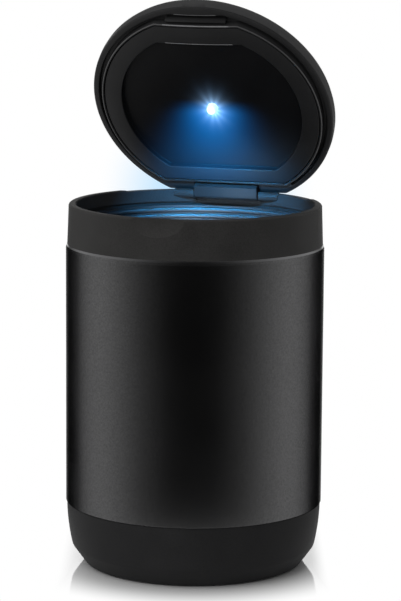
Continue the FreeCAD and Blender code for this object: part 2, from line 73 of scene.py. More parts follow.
class Body(Enum):
    """The two rigid bodies of the ashtray."""

    CAN = "body"
    LID = "lid"


class SleeveSlot(IntEnum):
    """The sleeve's finishes, by material number."""

    SATIN = 0
    CUT = 1


class ShellSlot(IntEnum):
    """The lid shell's finishes, by material number."""

    BLACK = 0
    # Lighter finishes on the shell's eased edges: painted highlights
    PAINTED_HIGHLIGHT = 1
    FAINT_PAINTED_HIGHLIGHT = 2


class PlateSlot(IntEnum):
    """The lid plate's finishes, by material number."""

    FLANGE = 0
    PAN = 1
    # A painted highlight on the front of the recess's eased edge
    BRIGHT_PAINTED_HIGHLIGHT = 2


# Shading

class ShaderGraph:
    """Adds and links the nodes of one material or world."""

    def __init__(self, tree: bpy.types.NodeTree) -> None:
        """Starts from an empty tree."""
        self.tree = tree
        self.tree.nodes.clear()

    def node(self, kind: str, inputs: Optional[Mapping[Union[str, int], object]] = None,
             **settings: object) -> bpy.types.Node:
        """Adds one node.

        Args:
            kind: Blender's name for the node type, without the leading ShaderNode.
            inputs: What its sockets get, by name or number: another node's output, or a plain value.
            settings: Properties to set on it.

        Returns:
            The new node.
        """
        made = self.tree.nodes.new("ShaderNode" + kind)
        for name, value in settings.items():
            setattr(made, name, value)
        for key, value in (inputs or {}).items():
            if isinstance(value, bpy.types.NodeSocket):
                self.tree.links.new(value, made.inputs[key])
            else:
                made.inputs[key].default_value = value
        return made

    def math(self, operation: str, first: Value, second: Value = 0.0) -> Socket:
        """Works out one sum, of two numbers or of one."""
        return self.node("Math", {0: first, 1: second}, operation=operation).outputs[0]

    def range(self, value: Socket, low: float, high: float, to_low: float = 0.0,
              to_high: float = 1.0) -> Socket:
        """Maps a number smoothly from the span between low and high to another span."""
        inputs = dict(enumerate((value, low, high, to_low, to_high)))
        return self.node("MapRange", inputs, interpolation_type="SMOOTHSTEP").outputs["Result"]

    def place(self, kind: str = "Object") -> Socket:
        """The point's place in the piece's mesh, in metres, or with Generated the direction in a world."""
        return self.node("TexCoord").outputs[kind]

    def blend(self, first: Socket, second: Socket, share: float) -> Socket:
        """A number between two others, of which the second has the given share."""
        rest = self.math("MULTIPLY", first, 1.0 - share)
        return self.math("ADD", rest, self.math("MULTIPLY", second, share))

    def measure(self, operation: str, first: Socket, second: Sequence[float] = (0.0, 0.0, 0.0)) -> Socket:
        """Works out a number from one vector or two, such as a length."""
        return self.node("VectorMath", {0: first, 1: second}, operation=operation).outputs["Value"]

    def mix(self, factor: Value, first: object, second: object, blend: str = "MIX") -> Socket:
        """Mixes two colours, of which the second has the factor as its share."""
        inputs = {"Factor": factor, "A": first, "B": second}
        return self.node("Mix", inputs, data_type="RGBA", blend_type=blend).outputs["Result"]

    def finish(self, surface: Socket, kind: str = "OutputMaterial") -> None:
        """Links the result to the graph's output node."""
        self.node(kind, {"Surface": surface})

    def noise(self, scale: float, detail: float = 2.0, stretch: Optional[Colour] = None) -> Socket:
        """Fractal noise over the piece.

        Args:
            scale: Cells in a metre.
            detail: Octaves added to the first.
            stretch: Factors on the three axes, where the noise isn't even.

        Returns:
            The noise, from 0 to 1.
        """
        place = self.place()
        if stretch is not None:
            place = self.node("Mapping", {"Scale": stretch, "Vector": place}).outputs["Vector"]
        return self.node("TexNoise", {"Scale": scale, "Detail": detail, "Vector": place}).outputs["Fac"]

    def beside(self, origin: Vector, tilt: float) -> tuple[Socket, Socket]:
        """Distances from a place on a surface that is tilted about X.

        Args:
            origin: The place.
            tilt: The surface's angle.

        Returns:
            The distances across the surface and along it.
        """
        inputs = {"Vector": self.place(), "Location": origin, "Rotation": (tilt, 0.0, 0.0)}
        mapping = self.node("Mapping", inputs, vector_type="TEXTURE")
        axes = self.node("SeparateXYZ", {"Vector": mapping.outputs["Vector"]})
        return axes.outputs["X"], axes.outputs["Y"]

    def hypotenuse(self, first: Socket, second: Socket) -> Socket:
        """The distance that two distances at right angles make."""
        return self.math("SQRT", self.math("ADD", self.math("MULTIPLY", first, first),
                                           self.math("MULTIPLY", second, second)))

    def ramp(self, factor: Socket, stops: Sequence[tuple[float, Colour]]) -> Socket:
        """Turns a number into a colour.

        Args:
            factor: The number.
            stops: Places from 0 to 1 and the colours there.

        Returns:
            The colour.
        """
        made = self.node("ValToRGB", {"Fac": factor})
        elements = made.color_ramp.elements
        while len(elements) < len(stops):
            elements.new(1.0)
        for element, (place, colour) in zip(elements, stops):
            element.position = place
            element.color = (*colour, 1.0)
        return made.outputs["Color"]

    def bump(self, height: Socket, depth: float, strength: float) -> Socket:
        """Tilts the surface by a height field from 0 to 1, which stands proud by a depth in metres."""
        inputs = {"Strength": strength, "Distance": depth, "Height": height}
        return self.node("Bump", inputs).outputs["Normal"]


def shade(colour: Colour, factor: float) -> Colour:
    """A colour made lighter or darker by a factor."""
    return tuple(channel * factor for channel in colour)


def grey(level: float) -> tuple[float, float, float, float]:
    """An opaque grey."""
    return level, level, level, 1.0


@dataclass(frozen=True)
class Spread:
    """How a value follows a noise: the part of the noise that counts, and what the value is at its ends."""

    low: float
    high: float
    at_low: float
    at_high: float


@dataclass(frozen=True)
class Finish(ABC):
    """The look of one kind of surface."""

    name: str
    colour: Colour
    roughness: float

    def material(self) -> bpy.types.Material:
        """Makes the finish as a node material, or finds it if it was made before.

        Returns:
            The material.
        """
        found = bpy.data.materials.get(self.name)
        if found is not None:
            return found
        made = bpy.data.materials.new(self.name)
        made.use_nodes = True
        made.diffuse_color = (*self.colour, 1.0)
        graph = ShaderGraph(made.node_tree)
        graph.finish(graph.node("BsdfPrincipled", self.sockets(graph)).outputs["BSDF"])
        return made

    def tone(self, graph: ShaderGraph, noise: Socket, spread: Spread) -> Socket:
        """A colour that follows a noise, by factors on the finish's own."""
        ends = (shade(self.colour, spread.at_low), shade(self.colour, spread.at_high))
        return graph.ramp(noise, list(zip((spread.low, spread.high), ends)))

    @abstractmethod
    def sockets(self, graph: ShaderGraph) -> dict[str, object]:
        """What the shader's sockets get.

        Args:
            graph: The material's graph.

        Returns:
            Values or links, by the sockets' names.
        """


@dataclass(frozen=True)
class Grained(Finish):
    """A surface with a fine grain and a broad, faint drift."""

    grain: float = 2600.0
    grain_detail: float = 2.0
    grain_stretch: Optional[Colour] = None
    grain_depth: float = 0.05 * MM
    grain_strength: float = 0.35
    drift: float = 90.0
    drift_detail: float = 4.0
    # The grain's share in what colour and roughness follow; the drift has the rest
    tone_share: float = 0.6
    gloss_share: float = 1.0
    tones: Spread = Spread(0.3, 0.7, 0.72, 1.28)
    glosses: Spread = Spread(0.3, 0.7, -0.05, 0.07)
    metallic: float = 1.0
    specular: float = 0.5
    # How bright its mirror image is at a grazing angle
    edge: float = 1.0

    def sockets(self, graph: ShaderGraph) -> dict[str, object]:
        """The grain in colour, roughness and relief.

        Args:
            graph: The material's graph.

        Returns:
            Values or links, by the sockets' names.
        """
        grain = graph.noise(self.grain, self.grain_detail, self.grain_stretch)
        drift = graph.noise(self.drift, self.drift_detail)
        gloss = self.glosses
        ends = (self.roughness + gloss.at_low, self.roughness + gloss.at_high)
        return {
            "Base Color": self.tone(graph, graph.blend(drift, grain, self.tone_share), self.tones),
            "Roughness": graph.range(graph.blend(drift, grain, self.gloss_share), gloss.low, gloss.high,
                                     *ends),
            "Normal": graph.bump(grain, self.grain_depth, self.grain_strength),
            "Metallic": self.metallic,
            "Specular IOR Level": self.specular,
            "Specular Tint": grey(self.edge),
        }


@dataclass(frozen=True)
class MouldedPlastic(Grained):
    """Spark-textured black plastic with a faint mottle."""

    grain_detail: float = 3.0
    glosses: Spread = Spread(0.25, 0.75, -0.06, 0.08)
    metallic: float = 0.0
    specular: float = 0.2


@dataclass(frozen=True)
class BlastedMetal(Grained):
    """Bead-blasted, dyed metal with a fine sparkle."""

    grain: float = 2200.0
    grain_depth: float = 0.03 * MM
    grain_strength: float = 0.06
    drift: float = 35.0
    drift_detail: float = 3.0
    tone_share: float = 1.0
    gloss_share: float = 0.0
    tones: Spread = Spread(0.28, 0.72, 0.8, 1.2)
    glosses: Spread = Spread(0.3, 0.7, -0.02, 0.02)
    edge: float = 0.1


@dataclass(frozen=True)
class TurnedMetal(Grained):
    """Bare metal with the faint rings that a lathe or a draw die leaves."""

    grain: float = 5200.0
    grain_stretch: Optional[Colour] = (0.02, 0.02, 1.0)
    grain_depth: float = 0.01 * MM
    grain_strength: float = 0.2
    drift: float = 45.0
    tone_share: float = 0.0
    tones: Spread = Spread(0.3, 0.7, 0.86, 1.1)


@dataclass(frozen=True)
class CircuitLaminate(Finish):
    """Green solder mask with paler tracks under it."""

    track: Colour = (0.03, 0.16, 0.07)
    track_edge: tuple[float, float] = (0.06, 0.1)
    pitch: float = 420.0
    mask_depth: float = 0.02 * MM
    mask_strength: float = 0.3

    def sockets(self, graph: ShaderGraph) -> dict[str, object]:
        """The tracks in colour and relief.

        Args:
            graph: The material's graph.

        Returns:
            Values or links, by the sockets' names.
        """
        cells = graph.node("TexVoronoi", {"Scale": self.pitch, "Vector": graph.place()},
                           feature="DISTANCE_TO_EDGE", distance="MANHATTAN")
        edge = cells.outputs["Distance"]
        return {
            "Base Color": graph.ramp(edge, list(zip(self.track_edge, (self.track, self.colour)))),
            "Normal": graph.bump(edge, self.mask_depth, self.mask_strength),
            "Roughness": self.roughness,
        }


@dataclass(frozen=True)
class LampLens(Finish):
    """Clear lamp resin, lit from inside."""

    lamp: Vector = field(default_factory=lambda: Vector((0.0, 0.0, 0.0)))
    tilt: float = 0.0
    glow: Colour = (0.9, 0.97, 1.0)
    rim_glow: Colour = (0.45, 0.85, 1.0)
    strength: float = 3.0
    rim_strength: float = 0.75
    rim: float = 1.5 * MM
    core_share: float = 0.3
    cloud: float = 900.0
    tones: Spread = Spread(0.3, 0.7, 0.9, 1.0)

    def sockets(self, graph: ShaderGraph) -> dict[str, object]:
        """The resin, with the glow strongest in its middle.

        Args:
            graph: The material's graph.

        Returns:
            Values or links, by the sockets' names.
        """
        distance = graph.hypotenuse(*graph.beside(self.lamp, self.tilt))
        share = graph.math("DIVIDE", distance, self.rim)
        return {
            "Base Color": self.tone(graph, graph.noise(self.cloud), self.tones),
            "Roughness": self.roughness,
            "Emission Color": graph.ramp(share, [(self.core_share, self.glow), (1.0, self.rim_glow)]),
            "Emission Strength": graph.range(distance, 0.0, self.rim, self.strength, self.rim_strength),
        }


@dataclass(frozen=True)
class PlasticWithPaintedGlow(MouldedPlastic):
    """The lid plate's plastic, with the wash and glow of the lamp that stands in its middle painted on as
    light that it gives off.
    """

    lamp: Vector = field(default_factory=lambda: Vector((0.0, 0.0, 0.0)))
    tilt: float = 0.0
    fan: Colour = (0.0, 0.29, 1.0)
    fan_width: float = 6.2 * MM
    fan_spread: float = 0.315
    fan_lean: float = 0.16
    fan_reach: float = 10.0 * MM
    fan_edge: float = 3.0 * MM
    halo: Colour = (1.36, 2.5, 4.2)
    halo_radius: float = 1.22 * MM
    halo_stretch: float = 1.34
    halo_shift: float = 0.9 * MM
    ray_share: float = 0.16
    rays: int = 11

    def sockets(self, graph: ShaderGraph) -> dict[str, object]:
        """The plastic, with the lamp's wash and glow painted on as light that it gives off.

        Args:
            graph: The material's graph.

        Returns:
            Values or links, by the sockets' names.
        """
        fan = self.tinted(graph, self.wash(graph), self.fan)
        halo = self.tinted(graph, self.burst(graph), self.halo)
        light = graph.mix(1.0, fan, halo, "ADD")
        return {**super().sockets(graph), "Emission Color": light, "Emission Strength": 1.0}

    def wash(self, graph: ShaderGraph) -> Socket:
        """The painted fan of light from the lamp towards the hinge.

        Args:
            graph: The material's graph.

        Returns:
            Its strength.
        """
        across, down = graph.beside(self.lamp, self.tilt)
        past = graph.math("MAXIMUM", down, 0.0)
        spread = {0: past, 1: self.fan_spread, 2: self.fan_width}
        width = graph.node("Math", spread, operation="MULTIPLY_ADD").outputs[0]
        leant = graph.math("ADD", across, graph.math("MULTIPLY", past, self.fan_lean))
        share = graph.math("DIVIDE", leant, width)
        side = graph.math("POWER", math.e, graph.math("MULTIPLY", graph.math("MULTIPLY", share, share), -1.0))
        fade = graph.math("POWER", math.e, graph.math("DIVIDE", past, -self.fan_reach))
        edge = graph.range(down, -self.fan_edge, self.fan_edge)
        return graph.math("MULTIPLY", graph.math("MULTIPLY", side, fade), edge)

    def burst(self, graph: ShaderGraph) -> Socket:
        """The painted glow close round the lamp, with its short rays.

        Args:
            graph: The material's graph.

        Returns:
            Its strength.
        """
        across, down = graph.beside(self.lamp, self.tilt)
        along = graph.math("DIVIDE", graph.math("SUBTRACT", down, self.halo_shift), self.halo_stretch)
        distance = graph.hypotenuse(across, along)
        fade = graph.math("POWER", math.e, graph.math("DIVIDE", distance, -self.halo_radius))
        turn = graph.math("MULTIPLY", graph.math("ARCTAN2", along, across), float(self.rays))
        ray = graph.range(graph.math("SINE", turn), -1.0, 1.0, 1.0 - self.ray_share, 1.0 + self.ray_share)
        return graph.math("MULTIPLY", fade, ray)

    def tinted(self, graph: ShaderGraph, strength: Socket, colour: Colour) -> Socket:
        """A strength turned into coloured light."""
        return graph.node("VectorMath", {0: colour, "Scale": strength}, operation="SCALE").outputs["Vector"]


# Meshes

def between(first: float, second: float, share: float) -> float:
    """The number part of the way from one to another."""
    return first + (second - first) * share


@dataclass(frozen=True)
class Disc:
    """A level outline: a circle whose front and rear may be cut off flat."""

    radius: float
    height: float
    front: float = UNCUT
    rear: float = UNCUT
    bow: float = 0.0
    soft: float = 0.0
    finish: int = 0
    # The painted highlight finishes that a rounded corner's faces have on the front flat and elsewhere
    painted_highlights: Optional[tuple[int, int]] = None

    def moved(self, other: "Disc", share: float) -> "Disc":
        """The outline part of the way to another one.

        Args:
            other: The other outline.
            share: How far along the way, from 0 to 1.

        Returns:
            The outline between them.
        """
        def flat(mine: float, theirs: float) -> float:
            """Where the flat between two flats lies, or UNCUT where neither outline has one."""
            uncut = mine >= UNCUT and theirs >= UNCUT
            return UNCUT if uncut else between(min(mine, self.radius), min(theirs, other.radius), share)

        return replace(self, radius=between(self.radius, other.radius, share),
                       height=between(self.height, other.height, share),
                       front=flat(self.front, other.front), rear=flat(self.rear, other.rear), soft=0.0)

    def inset(self, distance: float, height: float) -> "Disc":
        """The same outline, brought in on every side.

        Args:
            distance: How far it comes in.
            height: Its new height.

        Returns:
            The new outline.
        """
        front = self.front if self.front >= UNCUT else self.front - distance
        rear = self.rear if self.rear >= UNCUT else self.rear - distance
        return replace(self, radius=self.radius - distance, height=height, front=front, rear=rear)


@dataclass(frozen=True)
class RingPlan:
    """How many points go round an outline, and where its flats lie when it has none."""

    front: int = 28
    side: int = 72
    rear: int = 28
    front_span: float = 0.38
    rear_span: float = 0.6
    front_margin: int = 3

    def in_front(self, index: int) -> bool:
        """Whether a band's face lies in the middle of its front flat."""
        return self.front_margin <= index < self.front - self.front_margin

    def points(self, disc: Disc) -> list[Vector]:
        """Points round an outline, starting at the left end of its front flat.

        Args:
            disc: The outline.

        Returns:
            The points.
        """
        front_cut = disc.front < disc.radius
        rear_cut = disc.rear < disc.radius
        front_span = math.acos(disc.front / disc.radius) if front_cut else self.front_span
        rear_span = math.acos(disc.rear / disc.radius) if rear_cut else self.rear_span
        stretches = (
            (-front_span, front_span, self.front),
            (front_span, math.pi - rear_span, self.side),
            (math.pi - rear_span, math.pi + rear_span, self.rear),
            (math.pi + rear_span, math.tau - front_span, self.side),
        )
        half = disc.radius * math.sin(front_span)
        made = []
        for number, (start, end, count) in enumerate(stretches):
            for step in range(count):
                angle = start + (end - start) * step / count
                across = disc.radius * math.sin(angle)
                along = -disc.radius * math.cos(angle)
                if number == FRONT_STRETCH and front_cut:
                    along = -disc.front + disc.bow * (1.0 - (across / half) ** 2)
                if number == REAR_STRETCH and rear_cut:
                    along = disc.rear
                made.append(Vector((across, along, disc.height)))
        return made


def rounded(corners: Sequence[Disc], steps: int = 5) -> list[Disc]:
    """Rounds the corners of a section by true arcs.

    Args:
        corners: The section's corners, each with the radius that it is rounded by.
        steps: Facets in one arc.

    Returns:
        The outlines to loft.
    """
    made = []
    for number, corner in enumerate(corners):
        if corner.soft <= 0.0:
            made.append(corner)
            continue
        before, after = corners[number - 1], corners[(number + 1) % len(corners)]
        one = Vector((before.radius - corner.radius, before.height - corner.height))
        two = Vector((after.radius - corner.radius, after.height - corner.height))
        half_angle = one.angle(two) / 2
        cut = corner.soft / math.tan(half_angle)
        first = corner.moved(before, cut / one.length)
        last = corner.moved(after, cut / two.length)
        weight = math.sin(half_angle)
        for step in range(steps + 1):
            share = step / steps
            parts = ((1 - share) ** 2, 2 * share * (1 - share) * weight, share ** 2)
            rise = parts[1] / sum(parts)
            end = parts[2] / sum(parts)
            outline = first.moved(last, end / (1 - rise)).moved(corner, rise)
            made.append(outline if step < steps else replace(outline, painted_highlights=None))
    return made


def add_to_scene(made: bpy.types.Object) -> None:
    """Puts an object into the scene."""
    bpy.context.scene.collection.objects.link(made)


class MeshDraft:
    """Collects the points and faces of one piece."""

    def __init__(self, name: str, body: Body) -> None:
        """Starts an empty draft.

        Args:
            name: The piece's name.
            body: The body that it rides on.
        """
        self.name = name
        self.body = body
        self.mesh = bmesh.new()

    def ring(self, points: Sequence[Vector]) -> Ring:
        """Adds the points of one ring."""
        return [self.mesh.verts.new(point) for point in points]

    def band(self, first: Ring, second: Ring, finish: int) -> list[bmesh.types.BMFace]:
        """Joins two rings by quads.

        Args:
            first: One ring.
            second: The next ring.
            finish: The material's number.

        Returns:
            The quads, in the order of the rings' points.
        """
        count = len(first)
        made = []
        for index in range(count):
            after = (index + 1) % count
            face = self.mesh.faces.new((first[index], first[after], second[after], second[index]))
            face.material_index = finish
            made.append(face)
        return made

    def cap(self, ring: Ring, height: float, finish: int) -> None:
        """Closes a ring with a fan about its middle.

        Args:
            ring: The ring.
            height: The middle's height.
            finish: The material's number.
        """
        middle = self.mesh.verts.new((0.0, 0.0, height))
        for index, vertex in enumerate(ring):
            face = self.mesh.faces.new((middle, vertex, ring[(index + 1) % len(ring)]))
            face.material_index = finish

    def loft(self, outlines: Sequence[Disc], plan: RingPlan, closed: bool = False) -> None:
        """Skins a run of outlines.

        Args:
            outlines: The outlines in order.
            plan: How their points are spread.
            closed: Whether the last joins the first; otherwise both ends are capped.
        """
        rings = [self.ring(plan.points(outline)) for outline in outlines]
        for number in range(len(rings) - 1):
            faces = self.band(rings[number], rings[number + 1], outlines[number].finish)
            # Faces of a rounded corner get painted highlight finishes: one on the front flat, another
            # elsewhere
            painted_highlights = outlines[number].painted_highlights
            if painted_highlights is not None:
                for index, face in enumerate(faces):
                    face.material_index = painted_highlights[0] if plan.in_front(index) else painted_highlights[1]
        if closed:
            self.band(rings[-1], rings[0], outlines[-1].finish)
        else:
            self.cap(rings[0], outlines[0].height, outlines[0].finish)
            self.cap(rings[-1], outlines[-1].height, outlines[-1].finish)

    def ease(self, edges: Sequence[bmesh.types.BMEdge], size: float, clamp: bool) -> None:
        """Rounds some edges a little."""
        bmesh.ops.bevel(self.mesh, geom=edges, offset=size, segments=EASE_FACETS, affect="EDGES",
                        profile=ROUND_PROFILE, clamp_overlap=clamp)

    def cut_behind(self, rear: float, edge: float) -> None:
        """Cuts the piece off flat at its rear and eases the new edge.

        Args:
            rear: Where the flat lies.
            edge: How much the edge is eased.
        """
        geometry = [*self.mesh.verts, *self.mesh.edges, *self.mesh.faces]
        cut = bmesh.ops.bisect_plane(self.mesh, geom=geometry, plane_co=(0.0, rear, 0.0),
                                     plane_no=(0.0, 1.0, 0.0), clear_outer=True)
        edges = [part for part in cut["geom_cut"] if isinstance(part, bmesh.types.BMEdge)]
        bmesh.ops.holes_fill(self.mesh, edges=edges, sides=0)
        self.ease(edges, edge, True)

    def extrude(self, section: Sequence[tuple[float, float]], half: float, edge: float) -> None:
        """Adds a bar along X with eased ends.

        Args:
            section: Its section, as distances along Y and Z.
            half: Half its length.
            edge: How much its ends are eased.
        """
        ends = [self.ring([Vector((side * half, along, up)) for along, up in section])
                for side in (-1.0, 1.0)]
        self.band(ends[0], ends[1], 0)
        for end in ends:
            self.mesh.faces.new(end)
        rims = [line for end in ends for vertex in end for line in vertex.link_edges
                if line.other_vert(vertex) in end]
        self.ease(list(dict.fromkeys(rims)), edge, False)

    def piece(self, finishes: Sequence[Finish], turn: Optional[Matrix] = None) -> bpy.types.Object:
        """Makes the piece and lets it ride on its body.

        Args:
            finishes: Its finishes, by material number.
            turn: A motion from the place it was drawn in to its place at rest.

        Returns:
            The piece.
        """
        if turn is not None:
            self.mesh.transform(turn)
        bmesh.ops.recalc_face_normals(self.mesh, faces=self.mesh.faces)
        data = bpy.data.meshes.new(self.name)
        self.mesh.to_mesh(data)
        self.mesh.free()
        data.shade_smooth()
        data.set_sharp_from_angle(angle=SHARP_ANGLE)
        for finish in finishes:
            data.materials.append(finish.material())
        made = bpy.data.objects.new(self.name, data)
        add_to_scene(made)
        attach(made, self.body.value)
        log.info("%s: %d faces on %s", self.name, len(data.polygons), self.body.value)
        return made


def dress_node(node: str, finish: Finish) -> None:
    """Gives a carried-over node its finish.

    Args:
        node: The node's name.
        finish: Its finish.
    """
    slots = frame["nodes"][node].material_slots
    for slot in slots:
        slot.material = finish.material()
    log.info("%s: dressed as %s", node, finish.name)


# Finishes of this object

COLLAR_BLACK = MouldedPlastic("collar_black", (0.024, 0.0235, 0.023), 0.55, specular=0.1)
BASE_BLACK = MouldedPlastic("base_black", (0.0185, 0.0185, 0.019), 0.6, specular=0.08)
LID_BLACK = MouldedPlastic("lid_black", (0.017, 0.017, 0.0175), 0.5)
# Painted highlights: lighter finishes for the lid's eased edges, where light would glint
PAINTED_HIGHLIGHT_EDGE = MouldedPlastic("painted_highlight_edge", (0.14, 0.14, 0.145), 0.35, specular=0.6)
BRIGHT_PAINTED_HIGHLIGHT_EDGE = replace(PAINTED_HIGHLIGHT_EDGE, name="bright_painted_highlight_edge", colour=(0.4, 0.4, 0.41))
FAINT_PAINTED_HIGHLIGHT_EDGE = replace(PAINTED_HIGHLIGHT_EDGE, name="faint_painted_highlight_edge", colour=(0.045, 0.045, 0.046))
SLEEVE_BLACK = BlastedMetal("sleeve_black", (0.098, 0.098, 0.099), 0.25)
CUT_EDGE = TurnedMetal("cut_edge", (0.14, 0.14, 0.143), 0.18)
LINER_METAL = TurnedMetal("liner_metal", (0.085, 0.085, 0.086), 0.5)
PIN_STEEL = TurnedMetal("pin_steel", (0.5, 0.5, 0.52), 0.25)
PAD_RUBBER = MouldedPlastic("pad_rubber", (0.012, 0.012, 0.012), 0.8, grain=1400.0, specular=0.25)
BOARD_GREEN = CircuitLaminate("board_green", (0.012, 0.07, 0.03), 0.35)
CELL_STEEL = TurnedMetal("cell_steel", (0.62, 0.62, 0.6), 0.24)
CLIP_BRASS = TurnedMetal("clip_brass", (0.7, 0.5, 0.2), 0.28)
SWITCH_CAN = TurnedMetal("switch_can", (0.6, 0.6, 0.62), 0.3)
SCREW_STEEL = TurnedMetal("screw_steel", (0.4, 0.4, 0.42), 0.32)
LAMP_RESIN = LampLens("lamp_lens", (0.9, 0.95, 1.0), 0.12)
# The flange and pan carry the lamp's painted wash and glow
FLANGE_BLACK = PlasticWithPaintedGlow("flange_black", (0.015, 0.015, 0.0155), 0.5)
PAN_BLACK = replace(FLANGE_BLACK, name="pan_black", colour=(0.0055, 0.0055, 0.006), specular=0.15)


# Sub-assemblies

@dataclass
class Can:
    """The fixed body: foot, base cup, sleeve, liner, collar and hinge pin."""

    bevel_height: float = 1.3 * MM
    bevel_depth: float = 0.4 * MM
    cut_share: float = 0.5
    wall: float = 0.8 * MM
    foot_chamfer: float = 0.3 * MM
    edge: float = 0.08 * MM
    plan: RingPlan = RingPlan(front=32, side=96, rear=32, front_span=0.39, rear_span=0.39)

    def build(self) -> None:
        """Makes the sleeve and dresses the nodes round it."""
        self.build_sleeve()
        dress_node("foot_pad", PAD_RUBBER)
        dress_node("base_cup", BASE_BLACK)
        dress_node("ash_liner", LINER_METAL)
        dress_node("collar", COLLAR_BLACK)
        dress_node("hinge_pin", PIN_STEEL)

    def build_sleeve(self) -> None:
        """Makes the metal sleeve, with its bright cut bevel under the collar."""
        low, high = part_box("body_sleeve")
        radius = high.x
        bore = radius - self.wall
        cut_radius = radius - self.bevel_depth * (1.0 - self.cut_share)
        section = rounded([
            Disc(radius, high.z - self.bevel_height, soft=self.edge),
            Disc(cut_radius, high.z - self.bevel_height * self.cut_share, finish=SleeveSlot.CUT),
            Disc(radius - self.bevel_depth, high.z, soft=self.edge),
            Disc(bore, high.z),
            Disc(bore, low.z),
            Disc(radius - self.foot_chamfer, low.z, soft=self.edge),
            Disc(radius, low.z + self.foot_chamfer, soft=self.edge),
        ])
        draft = MeshDraft("sleeve", Body.CAN)
        draft.loft(section, self.plan, closed=True)
        made = draft.piece([SLEEVE_BLACK, CUT_EDGE])
        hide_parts("body_sleeve")


@dataclass
class Lid:
    """The moving lid: shell, inner plate, lamp and what drives it. It is drawn shut, then swung open."""

    base: float = 104.9 * MM
    rim_radius: float = 35.8 * MM
    flare: float = 0.3 * MM
    side_height: float = 6.4 * MM
    crown: float = 2.0 * MM
    shoulder: float = 4.5 * MM
    rim_round: float = 0.5 * MM
    rear: float = 30.75 * MM
    rear_edge: float = 0.5 * MM
    rim_width: float = 1.7 * MM
    lip_flat: float = 1.0 * MM
    groove_depth: float = 1.5 * MM
    groove_rear: float = 0.4 * MM
    ring_radius: float = 32.9 * MM
    ring_wall: float = 0.6 * MM
    ring_proud: float = 1.2 * MM
    cavity_height: float = 5.4 * MM
    plate_gap: float = 0.25 * MM
    plate_front_flat: float = 2.4 * MM
    plate_rear_margin: float = 4.65 * MM
    plate_proud: float = 1.05 * MM
    plate_wall: float = 1.2 * MM
    flange_side: float = 5.1 * MM
    flange_front: float = 5.8 * MM
    flange_rear: float = 4.6 * MM
    recess_depth: float = 1.6 * MM
    bow: float = 0.35 * MM
    edge: float = 0.25 * MM
    lamp_hole: float = 1.6 * MM
    knuckle_half: float = 9.7 * MM
    barrel: float = 1.3 * MM
    barrel_steps: int = 20
    neck_front: float = 3.0 * MM
    neck_back: float = 0.2 * MM
    neck_root: float = 0.6 * MM
    neck_drop: float = 0.4 * MM
    neck_toe: float = 0.4 * MM
    bar_half: float = 9.0 * MM
    bar_offset: float = 0.5 * MM
    bar_width: float = 0.8 * MM
    bar_proud: float = 0.6 * MM
    dome_rows: int = 14
    plan: RingPlan = RingPlan()

    def __post_init__(self) -> None:
        """Reads the hinge from the frame and works out the outlines that pieces share."""
        joint = frame["joints"][0]
        self.hinge = Vector(joint["pos_m"])
        self.opening = math.radians(-joint["range_deg"][0])
        turn = Matrix.Rotation(self.opening, 4, Vector(joint["axis"]))
        self.swing = Matrix.Translation(self.hinge) @ turn @ Matrix.Translation(-self.hinge)
        plate_radius = self.ring_radius - self.ring_wall - self.plate_gap
        self.plate_face = self.base - self.plate_proud
        self.recess_floor = self.plate_face + self.recess_depth
        self.lamp = self.swing @ Vector((0.0, 0.0, self.recess_floor))
        self.plate = Disc(plate_radius, self.plate_face, plate_radius - self.plate_front_flat,
                          self.rear - self.plate_rear_margin, self.bow)

    def build(self) -> None:
        """Makes the lid's pieces and dresses the nodes inside it."""
        self.build_shell()
        self.build_plate()
        dress_node("led", self.lit(LAMP_RESIN))
        dress_node("led_board", BOARD_GREEN)
        dress_node("coin_cell", CELL_STEEL)
        dress_node("cell_clip", CLIP_BRASS)
        dress_node("tilt_switch", SWITCH_CAN)
        dress_node("board_screws", SCREW_STEEL)

    def lit(self, finish: Union[LampLens, PlasticWithPaintedGlow]) -> Finish:
        """A finish that has the lamp's place on the opened lid."""
        return replace(finish, lamp=self.lamp, tilt=-self.opening)

    def dome(self) -> list[Disc]:
        """The outlines of the shallow crown, from its middle out to where its shoulder starts.

        Returns:
            The outlines.
        """
        side = self.rim_radius + self.flare
        top = self.base + self.side_height + self.crown
        curve = (side ** 2 + self.crown ** 2) / (2 * self.crown)
        reach = side - self.shoulder
        made = []
        for step in range(1, self.dome_rows):
            radius = reach * step / self.dome_rows
            made.append(Disc(radius, top - curve + math.sqrt(curve ** 2 - radius ** 2)))
        return made

    def build_shell(self) -> None:
        """Makes the lid's shell: crown, side, rim, sunk groove, ring wall, closing rib and knuckle."""
        ring_foot = self.base - self.ring_proud
        groove_floor = self.base + self.groove_depth
        ceiling = self.base + self.cavity_height
        bore = self.plate.inset(-self.plate_gap, ceiling)
        ring = bore.inset(-self.ring_wall, ring_foot)
        groove_radius = self.rim_radius - self.rim_width
        groove = Disc(groove_radius, self.base, groove_radius - self.lip_flat, ring.rear + self.groove_rear,
                      self.bow)
        section = rounded([
            *self.dome(),
            Disc(self.rim_radius + self.flare, self.base + self.side_height, soft=self.shoulder),
            Disc(self.rim_radius, self.base, soft=self.rim_round),
            replace(groove, soft=self.edge, painted_highlights=(ShellSlot.PAINTED_HIGHLIGHT, ShellSlot.BLACK)),
            replace(groove, height=groove_floor, soft=self.edge),
            replace(ring, height=groove_floor, soft=self.edge),
            replace(ring, soft=self.edge, painted_highlights=(ShellSlot.PAINTED_HIGHLIGHT, ShellSlot.FAINT_PAINTED_HIGHLIGHT)),
            replace(bore, height=ring_foot, soft=self.edge),
            bore,
        ])
        draft = MeshDraft("lid_dome", Body.LID)
        draft.loft(section, self.plan)
        draft.cut_behind(self.rear, self.rear_edge)
        self.add_bar(draft, ring.front)
        self.add_knuckle(draft)
        made = draft.piece([LID_BLACK, PAINTED_HIGHLIGHT_EDGE, FAINT_PAINTED_HIGHLIGHT_EDGE], self.swing)
        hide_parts("lid_shell")

